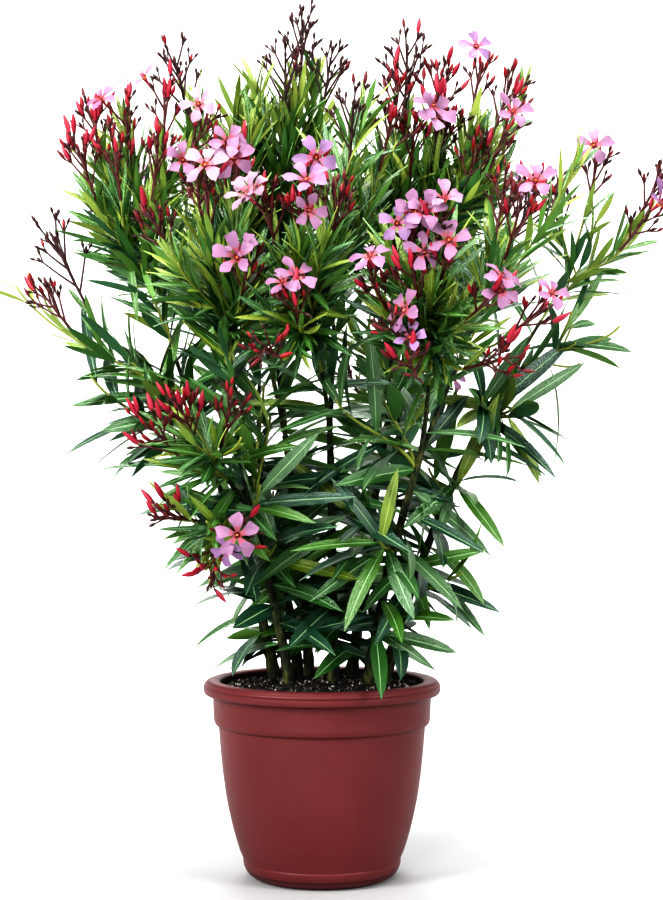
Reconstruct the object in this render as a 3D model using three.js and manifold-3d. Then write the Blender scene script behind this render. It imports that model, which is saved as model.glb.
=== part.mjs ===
// A potted oleander: a round plastic pot full of potting soil, nine canes that rise from the soil and fork,
// the boughs that carry on from each fork, and the masses of foliage and blossom that the boughs end in.
// Millimetres, +Z up. The origin is the middle of the pot's flat underside, and -Y is the plant's show side.

import * as THREE from 'three';
import { mergeVertices } from 'three/addons/utils/BufferGeometryUtils.js';
import Module from 'manifold-3d';

const wasm = await Module();
wasm.setup();

// ---- Driving dimensions --------------------------------------------------------------------------------

const RIM_RADIUS = 120; // a 24 cm pot
const POT_HEIGHT = 198;
const FOOT_RADIUS = 65; // the flat that the pot stands on
const FOOT_RING_HEIGHT = 18;
const FOOT_RING_RADIUS = 79;
const COLLAR_BOTTOM = 153;
const COLLAR_RADIUS = 109.5;
const LIP_BOTTOM = 183;
const WALL = 3;
const MOUTH_RADIUS = 101; // inside the rim
const POT_SEGMENTS = 30;

const SOIL_LEVEL = 194; // the plateau that the canes grow from
const SOIL_EDGE_LEVEL = 186; // where the soil meets the pot's wall
const SOIL_PLATEAU_RADIUS = 76;

const GAP = 0.35; // clearance left between neighbouring solids
const CANE_SIDES = 8;
const BOUGH_SIDES = 6;
const CANE_RINGS = 5;
const BOUGH_RINGS = 2;
const MASS_SIDES = 8;
const MASS_RINGS = 5;

// Each cane stands at foot on the soil, forks at fork, and tapers from radius[0] to radius[1]. Each head that
// springs from the fork ends at tip: its bough runs for enter of the way, and its mass holds the rest and
// swells to wide from its middle. lift says how steeply the head arrives at its tip.
const CANES = [
  {
    name: 'left', foot: [-46, -4], fork: [-116, -8, 430], radius: [8.5, 6],
    heads: [
      { name: 'reach_left', tip: [-314, -22, 648], wide: 46, enter: 0.26, lift: 0.8 },
      { name: 'high_left', tip: [-242, 18, 790], wide: 64, enter: 0.26, lift: 1.2 },
    ],
  },
  {
    name: 'left_front', foot: [-32, -30], fork: [-70, -84, 372], radius: [8, 5.5],
    heads: [
      { name: 'front_left', tip: [-112, -168, 704], wide: 66, enter: 0.32, lift: 1 },
      { name: 'low_left', tip: [-164, -192, 458], wide: 50, enter: 0.24, lift: 0.1 },
      { name: 'droop_left', tip: [-154, -152, 332], wide: 42, enter: 0.24, lift: -0.4 },
    ],
  },
  {
    name: 'centre_left', foot: [-12, 8], fork: [-38, 24, 446], radius: [7.5, 5.5],
    heads: [
      { name: 'crest_left', tip: [-146, -22, 842], wide: 50, enter: 0.24, lift: 1.3 },
      { name: 'tuft_left', tip: [-84, 68, 826], wide: 56, enter: 0.26, lift: 1.4 },
      { name: 'summit', tip: [-12, 8, 878], wide: 58, enter: 0.28, lift: 1.4 },
    ],
  },
  {
    name: 'centre', foot: [12, -12], fork: [8, -52, 448], radius: [7.5, 5.5],
    heads: [
      { name: 'front_centre', tip: [-34, -218, 672], wide: 68, enter: 0.24, lift: 0.9 },
      { name: 'crest_centre', tip: [50, -54, 814], wide: 56, enter: 0.28, lift: 1.4 },
    ],
  },
  {
    name: 'centre_right', foot: [30, 16], fork: [66, 16, 452], radius: [7.5, 5.5],
    heads: [
      { name: 'crest_right', tip: [94, 16, 858], wide: 58, enter: 0.26, lift: 1.4 },
      { name: 'high_right', tip: [178, -16, 842], wide: 60, enter: 0.26, lift: 1.3 },
    ],
  },
  {
    name: 'right_front', foot: [45, -24], fork: [96, -70, 424], radius: [8, 5.5],
    heads: [
      { name: 'front_right', tip: [102, -218, 656], wide: 68, enter: 0.28, lift: 0.9 },
      { name: 'shoulder_right', tip: [238, -62, 734], wide: 62, enter: 0.26, lift: 1.1 },
    ],
  },
  {
    name: 'right', foot: [62, 2], fork: [178, 4, 488], radius: [8, 5],
    heads: [
      { name: 'reach_right', tip: [332, 2, 738], wide: 54, enter: 0.28, lift: 1 },
      { name: 'side_right', tip: [318, 24, 584], wide: 46, enter: 0.2, lift: 0.4 },
    ],
  },
  {
    name: 'back_left', foot: [-24, 42], fork: [-66, 98, 412], radius: [8, 5.5],
    heads: [
      { name: 'back_left', tip: [-192, 186, 748], wide: 76, enter: 0.26, lift: 1.1 },
      { name: 'back_crest', tip: [-42, 218, 798], wide: 76, enter: 0.26, lift: 1.3 },
    ],
  },
  {
    name: 'back_right', foot: [29, 44], fork: [82, 100, 422], radius: [8, 5.5],
    heads: [
      { name: 'back_right', tip: [178, 192, 762], wide: 76, enter: 0.26, lift: 1.2 },
      { name: 'back_low', tip: [54, 276, 580], wide: 70, enter: 0.22, lift: 0.5 },
    ],
  },
];

// The leaves below the forks grow straight from the canes, so these masses have no bough and are cut round
// the canes instead: each hangs from its inner end to its outer tip.
const SKIRTS = [
  { name: 'side_left', inner: [-92, -20, 500], tip: [-256, -48, 420], wide: 52 },
  { name: 'side_right_low', inner: [112, -24, 484], tip: [226, -44, 420], wide: 54 },
  { name: 'skirt_left', inner: [-58, -8, 426], tip: [-118, -34, 212], wide: 36 },
  { name: 'skirt_front', inner: [14, -62, 500], tip: [48, -126, 204], wide: 52 },
  { name: 'skirt_right', inner: [96, -16, 420], tip: [132, -34, 226], wide: 46 },
  { name: 'skirt_front_left', inner: [-36, -66, 500], tip: [-52, -112, 236], wide: 42 },
  { name: 'skirt_back_left', inner: [-30, 104, 480], tip: [-84, 118, 214], wide: 54 },
  { name: 'skirt_back_right', inner: [40, 108, 490], tip: [72, 128, 210], wide: 54 },
];

// ---- Materials -----------------------------------------------------------------------------------------

const MATERIALS = {
  pot: new THREE.MeshStandardMaterial({ color: 0x7c3638, roughness: 0.55, metalness: 0 }),
  soil: new THREE.MeshStandardMaterial({ color: 0x1c1814, roughness: 0.95, metalness: 0 }),
  bark: new THREE.MeshStandardMaterial({ color: 0x4c4a36, roughness: 0.8, metalness: 0 }),
  foliage: new THREE.MeshStandardMaterial({ color: 0x2c5a2c, roughness: 0.5, metalness: 0 }),
};

// ---- Solids --------------------------------------------------------------------------------------------

const point = (xyz) => new THREE.Vector3(...xyz);

// A closed geometry as a manifold-3d solid, its shared vertices merged.
function solidOf(geometry) {
  const bare = new THREE.BufferGeometry().setAttribute('position', geometry.getAttribute('position'));
  bare.setIndex(geometry.index);
  const merged = mergeVertices(bare, 1e-3);
  const mesh = new wasm.Mesh({
    numProp: 3,
    vertProperties: merged.attributes.position.array,
    triVerts: new Uint32Array(merged.index.array),
  });
  return new wasm.Manifold(mesh);
}

function geometryOf(solid) {
  const { vertProperties, numProp, triVerts } = solid.getMesh();
  const geometry = new THREE.BufferGeometry();
  const positions = [];
  for (let i = 0; i < vertProperties.length; i += numProp) {
    positions.push(vertProperties[i], vertProperties[i + 1], vertProperties[i + 2]);
  }
  geometry.setAttribute('position', new THREE.Float32BufferAttribute(positions, 3));
  geometry.setIndex(new THREE.BufferAttribute(triVerts, 1));
  geometry.computeVertexNormals();
  return geometry;
}

// A tube of rings along a curve from t0 to t1. radiusAt(t, angle) gives its surface, and each end closes on
// one point: lead is how far past its end ring that point lies, which is 0 for a flat cut.
function ringTube({ curve, t0, t1, rings, sides, radiusAt, lead = [0, 0], levelFoot = false }) {
  const positions = [];
  const index = [];
  const start = curve.getTangent(t0);
  const across = new THREE.Vector3(0, 1, 0).cross(start).normalize();
  for (let ring = 0; ring <= rings; ring++) {
    const t = t0 + ((t1 - t0) * ring) / rings;
    const centre = curve.getPoint(t);
    const along = levelFoot && ring === 0 ? new THREE.Vector3(0, 0, 1) : curve.getTangent(t);
    across.addScaledVector(along, -across.dot(along)).normalize();
    const other = along.clone().cross(across);
    for (let side = 0; side < sides; side++) {
      const angle = (2 * Math.PI * side) / sides;
      const radius = radiusAt(t, angle);
      const spot = centre
        .clone()
        .addScaledVector(across, radius * Math.cos(angle))
        .addScaledVector(other, radius * Math.sin(angle));
      positions.push(...spot.toArray());
    }
  }
  for (let ring = 0; ring < rings; ring++) {
    for (let side = 0; side < sides; side++) {
      const a = ring * sides + side;
      const b = ring * sides + ((side + 1) % sides);
      index.push(a, b, b + sides, a, b + sides, a + sides);
    }
  }
  const ends = [
    { t: t0, first: 0, way: -1, lead: lead[0] },
    { t: t1, first: rings * sides, way: 1, lead: lead[1] },
  ];
  for (const end of ends) {
    const tip = positions.length / 3;
    const centre = curve.getPoint(end.t).addScaledVector(curve.getTangent(end.t), end.way * end.lead);
    positions.push(...centre.toArray());
    for (let side = 0; side < sides; side++) {
      const a = end.first + side;
      const b = end.first + ((side + 1) % sides);
      index.push(...(end.way < 0 ? [b, a, tip] : [a, b, tip]));
    }
  }
  const geometry = new THREE.BufferGeometry();
  geometry.setAttribute('position', new THREE.Float32BufferAttribute(positions, 3));
  geometry.setIndex(index);
  return geometry;
}

// ---- Limbs ---------------------------------------------------------------------------------------------

const UP = new THREE.Vector3(0, 0, 1);
const BOUGH_TAPER = 0.62; // a bough's end radius as a share of its start
const FLARE = 0.55; // how much a cane widens at its foot
const FLARE_HEIGHT = 0.05; // the share of a cane's length that the flare takes

// A cane leaves the soil almost upright and leans over to its fork.
function caneCurve({ foot, fork }) {
  const start = point([...foot, SOIL_LEVEL + GAP]);
  const end = point(fork);
  const rise = end.z - start.z;
  const bend = start.clone().lerp(end, 0.32).setZ(start.z + rise * 0.5);
  return new THREE.QuadraticBezierCurve3(start, bend, end);
}

// A head's line leaves the fork the way the cane was going and arrives at its tip by its lift.
function headCurve(cane, head) {
  const start = point(cane.fork);
  const end = point(head.tip);
  const length = start.distanceTo(end);
  const onward = cane.curve.getTangent(1);
  const outward = end.clone().sub(start).setZ(0).normalize();
  const arrival = outward.multiplyScalar(0.55).addScaledVector(UP, head.lift).normalize();
  const first = start.clone().lerp(end, 0.2).addScaledVector(onward, length * 0.14);
  const second = end.clone().addScaledVector(arrival, -length * 0.34);
  return new THREE.CubicBezierCurve3(start, first, second, end);
}

function caneGeometry(cane, grow = 0) {
  const [thick, thin] = cane.radius;
  const radiusAt = (t) => {
    const flare = 1 + FLARE * Math.exp(-t / FLARE_HEIGHT);
    return thin + (thick - thin) * (1 - t) * flare + (flare - 1) * thin * 0.4 + grow;
  };
  return ringTube({
    curve: cane.curve, t0: 0, t1: 1, rings: CANE_RINGS, sides: CANE_SIDES, radiusAt,
    lead: [0, grow * 2], levelFoot: !grow,
  });
}

function boughGeometry(cane, head, grow = 0) {
  const thick = cane.radius[1] * 0.82;
  const start = grow ? 0 : GAP / head.curve.getLength();
  const radiusAt = (t) => thick * (1 - (1 - BOUGH_TAPER) * (t / head.enter)) + grow;
  return ringTube({
    curve: head.curve, t0: start, t1: head.enter, rings: BOUGH_RINGS, sides: BOUGH_SIDES, radiusAt,
    lead: [0, grow],
  });
}

// ---- Masses --------------------------------------------------------------------------------------------

// The number that makes each mass's lumps its own.
const seedOf = (name) => [...name].reduce((sum, letter) => (sum * 31 + letter.charCodeAt(0)) % 997, 7);

// How wide a mass is along itself, from 0 at one end to 1 near the middle and back.
const fullness = (share) => Math.pow(Math.sin(Math.PI * Math.pow(share, 1.15)), 0.55);

function massGeometry({ name, curve, t0, wide }) {
  const seed = seedOf(name);
  const edge = 0.035; // the share of the length that each pointed end takes
  const radiusAt = (t, angle) => {
    const share = (t - t0) / (1 - t0);
    const swell = 0.15 * Math.sin(3 * angle + seed + 5 * share);
    const bumps = 0.12 * Math.sin(5 * angle - 2 * seed - 11 * share);
    return wide * fullness(share) * (1 + swell + bumps);
  };
  const span = 1 - t0;
  const from = t0 + span * edge;
  const to = 1 - span * edge;
  const overshoot = curve.getLength() * span * edge;
  return ringTube({
    curve, t0: from, t1: to, rings: MASS_RINGS, sides: MASS_SIDES, radiusAt,
    lead: [overshoot, overshoot],
  });
}

// A skirt hangs from its inner end over an arch to its tip.
function skirtCurve({ inner, tip }) {
  const start = point(inner);
  const end = point(tip);
  const arch = start.clone().lerp(end, 0.5).addScaledVector(end.clone().sub(start).setZ(0), 0.22);
  return new THREE.QuadraticBezierCurve3(start, arch, end);
}

// ---- Pot and soil --------------------------------------------------------------------------------------

const BELLY_TOP = COLLAR_BOTTOM - 3;
const BELLY_TOP_RADIUS = 103.5;
const BELLY_BULGE = 5.2; // how far the belly stands out from a straight side
const LIP_ROUND = 7;

// The outside of the belly, from the foot ring to the collar: a straight side with half a wave of bulge.
function bellyRadius(z) {
  const share = (z - FOOT_RING_HEIGHT) / (BELLY_TOP - FOOT_RING_HEIGHT);
  const straight = FOOT_RING_RADIUS + (BELLY_TOP_RADIUS - FOOT_RING_RADIUS) * share;
  return straight + BELLY_BULGE * Math.sin(Math.PI * Math.pow(share, 0.85));
}

// The heights of some even steps up the belly, from the foot ring to the collar.
function bellySteps(count) {
  const rise = (BELLY_TOP - FOOT_RING_HEIGHT) / count;
  return Array.from({ length: count + 1 }, (_, i) => FOOT_RING_HEIGHT + rise * i);
}

function potOutside() {
  const foot = [
    [0, 0], [FOOT_RADIUS, 0], [FOOT_RING_RADIUS - 5, 4], [FOOT_RING_RADIUS - 1, 10],
  ];
  const belly = bellySteps(5).map((z) => [bellyRadius(z), z]);
  const collar = [
    [COLLAR_RADIUS - 2.5, COLLAR_BOTTOM + 1], [COLLAR_RADIUS - 1, COLLAR_BOTTOM + 6],
    [COLLAR_RADIUS, LIP_BOTTOM], [RIM_RADIUS - 2, LIP_BOTTOM + 1],
  ];
  const turns = 3;
  const lip = Array.from({ length: turns + 1 }, (_, i) => {
    const turn = (Math.PI / 2) * (i / turns);
    return [
      RIM_RADIUS - LIP_ROUND + LIP_ROUND * Math.cos(turn),
      POT_HEIGHT - LIP_ROUND + LIP_ROUND * Math.sin(turn),
    ];
  });
  return [...foot, ...belly, ...collar, ...lip];
}

// The inside follows the outside a wall's thickness away, from the mouth down to the floor.
function potInside(clearance = 0) {
  const throat = [MOUTH_RADIUS - clearance, LIP_BOTTOM];
  const belly = bellySteps(2).reverse().map((z) => [bellyRadius(z) - WALL - clearance, z]);
  const floor = WALL + clearance;
  return [throat, ...belly, [FOOT_RADIUS - clearance, floor], [0, floor]];
}

function lathe(profile) {
  const points = profile.map(([r, z]) => new THREE.Vector2(r, z));
  return new THREE.LatheGeometry(points, POT_SEGMENTS).rotateX(Math.PI / 2);
}

function potGeometry() {
  const brim = [MOUTH_RADIUS + 1.5, POT_HEIGHT - 1];
  return lathe([...potOutside(), brim, [MOUTH_RADIUS, POT_HEIGHT - 4], ...potInside()]);
}

function soilGeometry() {
  const top = [
    [MOUTH_RADIUS - GAP, SOIL_EDGE_LEVEL], [SOIL_PLATEAU_RADIUS, SOIL_LEVEL], [0, SOIL_LEVEL],
  ];
  return lathe([...potInside(GAP).reverse(), ...top]);
}

// ---- Assembly ------------------------------------------------------------------------------------------

const apart = (a, b) => [0, 1, 2].some((k) => a.max[k] < b.min[k] || b.max[k] < a.min[k]);

// The largest piece of a solid once each neighbour, grown by the gap, has been cut out of it. Vertices that
// move its faces by less than tolerance are left out.
function cutBy(neighbours, solid, tolerance) {
  const near = neighbours.filter((other) => !apart(solid.boundingBox(), other.boundingBox()));
  const left = near.reduce((rest, other) => rest.subtract(other), solid).simplify(tolerance);
  return left.decompose().sort((a, b) => b.volume() - a.volume())[0];
}

// The point of a curve's stretch from t0 on that lies nearest to a place.
function nearestOn({ curve, t0 }, place) {
  const steps = 24;
  const along = Array.from({ length: steps + 1 }, (_, i) => curve.getPoint(t0 + ((1 - t0) * i) / steps));
  return along.sort((a, b) => a.distanceToSquared(place) - b.distanceToSquared(place))[0];
}

// Where two masses meet, each gives way to a plane halfway between their middles.
function shareSpace(a, b) {
  if (apart(a.solid.boundingBox(), b.solid.boundingBox())) return;
  const common = a.solid.intersect(b.solid);
  if (common.isEmpty()) return;
  const { min, max } = common.boundingBox();
  const middle = point(min).add(point(max)).multiplyScalar(0.5);
  const from = nearestOn(a, middle);
  const to = nearestOn(b, middle);
  const way = to.clone().sub(from).normalize();
  const border = way.dot(from.add(to).multiplyScalar(0.5));
  b.solid = b.solid.trimByPlane(way.toArray(), border + GAP / 2);
  a.solid = a.solid.trimByPlane(way.negate().toArray(), -border + GAP / 2);
}

const plant = new THREE.Group();

function add(name, geometry, material) {
  const mesh = new THREE.Mesh(geometry, material);
  mesh.name = name;
  plant.add(mesh);
}

add('pot', potGeometry(), MATERIALS.pot);
add('soil', soilGeometry(), MATERIALS.soil);

for (const cane of CANES) {
  cane.curve = caneCurve(cane);
}
const heads = CANES.flatMap((cane) => cane.heads.map((head) => ({ cane, head })));
for (const { cane, head } of heads) {
  head.curve = headCurve(cane, head);
}

const limbs = []; // every limb so far, grown by the gap, for later solids to be cut by

function addLimb(name, geometry, grown) {
  add(name, geometryOf(cutBy(limbs, solidOf(geometry), GAP / 7)), MATERIALS.bark);
  limbs.push(solidOf(grown));
}

for (const cane of CANES) {
  addLimb(`cane_${cane.name}`, caneGeometry(cane), caneGeometry(cane, GAP));
}
for (const { cane, head } of heads) {
  addLimb(`bough_${head.name}`, boughGeometry(cane, head), boughGeometry(cane, head, GAP));
}

const masses = [
  ...heads.map(({ head }) => ({ ...head, t0: head.enter - 0.03 })),
  ...SKIRTS.map((skirt) => ({ ...skirt, curve: skirtCurve(skirt), t0: 0 })),
];
for (const mass of masses) {
  mass.solid = solidOf(massGeometry(mass));
}
masses.forEach((mass, i) => masses.slice(i + 1).forEach((other) => shareSpace(mass, other)));
for (const mass of masses) {
  add(`mass_${mass.name}`, geometryOf(cutBy(limbs, mass.solid, GAP / 2.5)), MATERIALS.foliage);
}

export default plant;
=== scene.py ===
# The looks of a potted oleander: bark, leaves, twigs, blossom, buds, pot and soil, grown on its solids.

import math

import bpy
import numpy as np
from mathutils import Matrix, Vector, noise
from mathutils.bvhtree import BVHTree


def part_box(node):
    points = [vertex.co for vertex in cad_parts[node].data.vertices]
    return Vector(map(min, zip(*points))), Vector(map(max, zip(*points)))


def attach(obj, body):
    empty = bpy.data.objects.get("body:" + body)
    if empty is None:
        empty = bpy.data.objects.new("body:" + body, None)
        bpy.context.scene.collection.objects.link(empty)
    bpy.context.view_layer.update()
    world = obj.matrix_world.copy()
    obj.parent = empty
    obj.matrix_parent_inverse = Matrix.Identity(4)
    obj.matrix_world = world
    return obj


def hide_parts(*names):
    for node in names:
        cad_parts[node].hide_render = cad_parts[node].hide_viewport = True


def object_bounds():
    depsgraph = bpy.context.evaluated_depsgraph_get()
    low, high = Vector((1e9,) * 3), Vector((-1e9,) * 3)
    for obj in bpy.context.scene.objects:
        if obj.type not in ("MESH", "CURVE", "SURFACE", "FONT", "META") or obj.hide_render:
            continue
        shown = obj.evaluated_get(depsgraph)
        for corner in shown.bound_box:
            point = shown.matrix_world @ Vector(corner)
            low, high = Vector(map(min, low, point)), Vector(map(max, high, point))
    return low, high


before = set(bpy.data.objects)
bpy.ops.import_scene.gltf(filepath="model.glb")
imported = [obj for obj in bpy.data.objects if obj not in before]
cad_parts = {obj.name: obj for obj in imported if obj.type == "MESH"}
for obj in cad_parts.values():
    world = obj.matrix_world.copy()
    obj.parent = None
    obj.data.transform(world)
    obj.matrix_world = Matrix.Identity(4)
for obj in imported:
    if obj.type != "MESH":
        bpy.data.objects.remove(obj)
cad_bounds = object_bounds()

MM = 0.001
SEED = 31
rng = np.random.default_rng(SEED)
UP = np.array([0.0, 0.0, 1.0])
SHOW = np.array([0.0, -1.0, 0.0])  # the side that the plant is shown from

# ---- Small helpers --------------------------------------------------------------------------------------


def unit(v):
    """v, or each row of v, with a length of 1."""
    v = np.asarray(v, float)
    return v / np.maximum(np.linalg.norm(v, axis=-1, keepdims=True), 1e-9)


def across(way, hint):
    """A unit vector square to way, as near as it gets to hint."""
    hint = np.asarray(hint, float)
    square = hint - way * (way @ hint)
    if np.linalg.norm(square) < 0.05:
        square = np.cross(way, [0.83, 0.55, 0.0])
    return unit(square)


def turned(v, axis, angle):
    """v turned about a unit axis."""
    c, s = math.cos(angle), math.sin(angle)
    return v * c + np.cross(axis, v) * s + axis * (axis @ v) * (1 - c)


def paint(red, green, blue):
    """A screen colour from 0 to 255 as the linear colour that a shader takes."""
    share = np.array([red, green, blue]) / 255
    linear = np.where(share <= 0.04045, share / 12.92, ((share + 0.055) / 1.055) ** 2.4)
    return (*linear, 1.0)


def box_of(node):
    """The lowest and the highest corner of a node's box."""
    low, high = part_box(node)
    return np.array(low), np.array(high)


def smooth_line(points, values, step):
    """Points every step along a rounded line through points, and values carried along with them."""
    both = np.column_stack([points, values])
    for _ in range(2):
        cut = np.empty((2 * len(both) - 2, both.shape[1]))
        cut[0::2] = both[:-1] * 0.75 + both[1:] * 0.25
        cut[1::2] = both[:-1] * 0.25 + both[1:] * 0.75
        both = np.vstack([both[:1], cut, both[-1:]])
    reach = np.concatenate([[0], np.cumsum(np.linalg.norm(np.diff(both[:, :3], axis=0), axis=1))])
    spots = np.linspace(0, reach[-1], max(3, round(reach[-1] / step) + 1))
    even = np.column_stack([np.interp(spots, reach, column) for column in both.T])
    return even[:, :3], even[:, 3]


def bezier(a, b, c, d, count):
    """Points along the curve that leaves a toward b and reaches d from c."""
    t = np.linspace(0, 1, count)[:, None]
    return a * (1 - t) ** 3 + 3 * b * t * (1 - t) ** 2 + 3 * c * t**2 * (1 - t) + d * t**3


class Batch:
    """Faces of one kind, gathered from many small parts, that become one mesh."""

    def __init__(self):
        self.points, self.corners, self.sizes, self.slots = [], [], [], []
        self.count = 0

    def add(self, points, faces, slot=0):
        """faces has rows of 3 or 4 places in points, and slot a material number, or one for each face."""
        points = np.asarray(points, float).reshape(-1, 3)
        faces = np.asarray(faces, int)
        self.points.append(points)
        self.corners.append((faces + self.count).ravel())
        self.sizes.append(np.full(len(faces), faces.shape[1]))
        self.slots.append(np.broadcast_to(slot, len(faces)))
        self.count += len(points)

    def build(self, name, materials, body="root"):
        mesh = bpy.data.meshes.new(name)
        points, corners = np.concatenate(self.points), np.concatenate(self.corners)
        sizes = np.concatenate(self.sizes)
        mesh.vertices.add(len(points))
        mesh.vertices.foreach_set("co", points.astype(np.float32).ravel())
        mesh.loops.add(len(corners))
        mesh.loops.foreach_set("vertex_index", corners.astype(np.int32))
        mesh.polygons.add(len(sizes))
        mesh.polygons.foreach_set("loop_start", (np.cumsum(sizes) - sizes).astype(np.int32))
        mesh.polygons.foreach_set("material_index", np.concatenate(self.slots).astype(np.int32))
        mesh.polygons.foreach_set("use_smooth", np.ones(len(sizes), bool))
        mesh.update(calc_edges=True)
        for material in materials:
            mesh.materials.append(material)
        piece = bpy.data.objects.new(name, mesh)
        bpy.context.scene.collection.objects.link(piece)
        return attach(piece, body) if body else piece


def grid_faces(rows, columns, closed):
    """The quads of a grid of points, with its last column joined to its first when it is closed."""
    steps = columns if closed else columns - 1
    row, column = np.meshgrid(np.arange(rows - 1), np.arange(steps), indexing="ij")
    a = (row * columns + column).ravel()
    b = (row * columns + (column + 1) % columns).ravel()
    return np.column_stack([a, b, b + columns, a + columns])


def tube(batch, line, radii, sides, slot=0, relief=None):
    """A limb along a line, closed at its far end. relief(ring, angles) is added to its radius."""
    line = np.asarray(line, float)
    ways = unit(np.gradient(line, axis=0))
    side_way = across(ways[0], [0.3, 0.9, 0.2])
    angles = np.linspace(0, 2 * math.pi, sides, endpoint=False)
    rings = []
    for ring, (centre, way, radius) in enumerate(zip(line, ways, radii)):
        side_way = unit(side_way - way * (way @ side_way))
        other = np.cross(way, side_way)
        reach = np.full(sides, radius)
        if relief is not None:
            reach = reach + relief(ring, angles)
        out = np.outer(np.cos(angles), side_way) + np.outer(np.sin(angles), other)
        rings.append(centre + reach[:, None] * out)
    rings.append(np.repeat([line[-1] + ways[-1] * radii[-1] * 0.6], sides, axis=0))
    batch.add(np.concatenate(rings), grid_faces(len(line) + 1, sides, True), slot)


# ---- Materials ------------------------------------------------------------------------------------------


def material(name, colour, roughness, **inputs):
    """A plain surface. inputs are further inputs of the Principled shader, by name."""
    made = bpy.data.materials.new(name)
    made.use_nodes = True
    shader = made.node_tree.nodes["Principled BSDF"]
    shader.inputs["Base Color"].default_value = colour
    shader.inputs["Roughness"].default_value = roughness
    for key, value in inputs.items():
        shader.inputs[key].default_value = value
    return made


def noise_node(made, scale, detail, stretch):
    nodes, links = made.node_tree.nodes, made.node_tree.links
    place = nodes.new("ShaderNodeTexCoord")
    mapping = nodes.new("ShaderNodeMapping")
    mapping.inputs["Scale"].default_value = stretch
    links.new(place.outputs["Object"], mapping.inputs["Vector"])
    pattern = nodes.new("ShaderNodeTexNoise")
    pattern.inputs["Scale"].default_value = scale
    pattern.inputs["Detail"].default_value = detail
    links.new(mapping.outputs["Vector"], pattern.inputs["Vector"])
    return pattern


NOISE_BAND = (0.35, 0.65)  # the noise seldom leaves this


def mottle(made, colours, scale, detail, stretch=(1, 1, 1)):
    """Base colour that wanders between colours."""
    nodes, links = made.node_tree.nodes, made.node_tree.links
    pattern = noise_node(made, scale, detail, stretch)
    ramp = nodes.new("ShaderNodeValToRGB")
    while len(ramp.color_ramp.elements) < len(colours):
        ramp.color_ramp.elements.new(0.5)
    low, high = NOISE_BAND
    for i, colour in enumerate(colours):
        ramp.color_ramp.elements[i].position = low + (high - low) * i / (len(colours) - 1)
        ramp.color_ramp.elements[i].color = colour
    links.new(pattern.outputs["Fac"], ramp.inputs["Fac"])
    links.new(ramp.outputs["Color"], nodes["Principled BSDF"].inputs["Base Color"])


def roughen(made, scale, height, detail, stretch=(1, 1, 1)):
    """Fine bumps of a height in metres."""
    nodes, links = made.node_tree.nodes, made.node_tree.links
    pattern = noise_node(made, scale, detail, stretch)
    bump = nodes.new("ShaderNodeBump")
    bump.inputs["Distance"].default_value = height
    links.new(pattern.outputs["Fac"], bump.inputs["Height"])
    links.new(bump.outputs["Normal"], nodes["Principled BSDF"].inputs["Normal"])


# Leaves by tone, from the oldest and darkest to the youngest: the upper side, and the paler lower side.
TONES = [
    ("deep", (32, 70, 50), (64, 104, 72)),
    ("dark", (50, 92, 42), (74, 114, 60)),
    ("mid", (68, 108, 40), (92, 128, 62)),
    ("fresh", (110, 130, 46), (116, 138, 66)),
    ("young", (134, 146, 54), (136, 152, 74)),
]
RIB_DARK = (146, 180, 134)
RIB_YOUNG = (168, 190, 108)


def leaf_materials():
    """The upper side of each tone, then the lower side of each, then the pale midribs."""
    made = []
    for name, upper, _ in TONES:
        leaf = material(f"leaf_{name}", paint(*upper), 0.28, **{"Specular IOR Level": 1.0})
        roughen(leaf, 640, 0.0011, 2)
        made.append(leaf)
    for name, _, lower in TONES:
        made.append(material(f"leaf_{name}_under", paint(*lower), 0.6))
    made.append(material("midrib", paint(*RIB_DARK), 0.5))
    made.append(material("midrib_young", paint(*RIB_YOUNG), 0.5))
    return made


def bark_material():
    made = material("bark", paint(50, 56, 28), 0.75)
    colours = [paint(12, 15, 6), paint(26, 32, 12), paint(46, 54, 22), paint(84, 86, 44)]
    mottle(made, colours, 160, 5, (1, 1, 0.35))
    roughen(made, 520, 0.0012, 4, (1, 1, 0.4))
    return made


# ---- Limbs ----------------------------------------------------------------------------------------------

LIMB_SLIMNESS = 0.64  # a living cane is slimmer than the solid that stands for it
# Where along its length a limb's solid is measured.
CUT_SHARES = [0.03, 0.15, 0.3, 0.45, 0.6, 0.75, 0.9, 0.98]


def limb_line(node, root):
    """The centreline and radii of a limb's solid, from the end that lies nearest to root."""
    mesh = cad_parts[node].data
    points = np.array([v.co for v in mesh.vertices])
    edges = np.array([e.vertices[:] for e in mesh.edges])
    middle = (points.min(0) + points.max(0)) / 2
    way = np.linalg.svd(points - middle, full_matrices=False)[2][0]
    way = way if (middle - root) @ way > 0 else -way
    along = (points - middle) @ way
    centres, radii = [], []
    for share in CUT_SHARES:
        level = along.min() + share * np.ptp(along)
        a, b = along[edges[:, 0]], along[edges[:, 1]]
        met = (a - level) * (b - level) < 0
        t = ((level - a[met]) / (b[met] - a[met]))[:, None]
        cut = points[edges[met, 0]] * (1 - t) + points[edges[met, 1]] * t
        centre = (cut.min(0) + cut.max(0)) / 2
        centres.append(centre)
        radii.append(np.linalg.norm(cut - centre, axis=1).mean() * LIMB_SLIMNESS)
    return np.array(centres), np.array(radii)


SOIL_TOP = box_of("soil")[1][2]
RIM_RADIUS, _, RIM_TOP = box_of("pot")[1]

canes = {}
for node in sorted(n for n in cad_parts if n.startswith("cane_")):
    low, _ = box_of(node)
    centres, radii = limb_line(node, np.array([0, 0, SOIL_TOP]))
    drop, step = centres[0][2] - low[2], centres[1][2] - centres[0][2]
    foot = centres[0] + (centres[0] - centres[1]) * drop / step
    canes[node[5:]] = {
        "line": np.vstack([foot, centres]),
        "radii": np.concatenate([[radii[0] * 1.15], radii]),
        "heads": [],
    }

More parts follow.
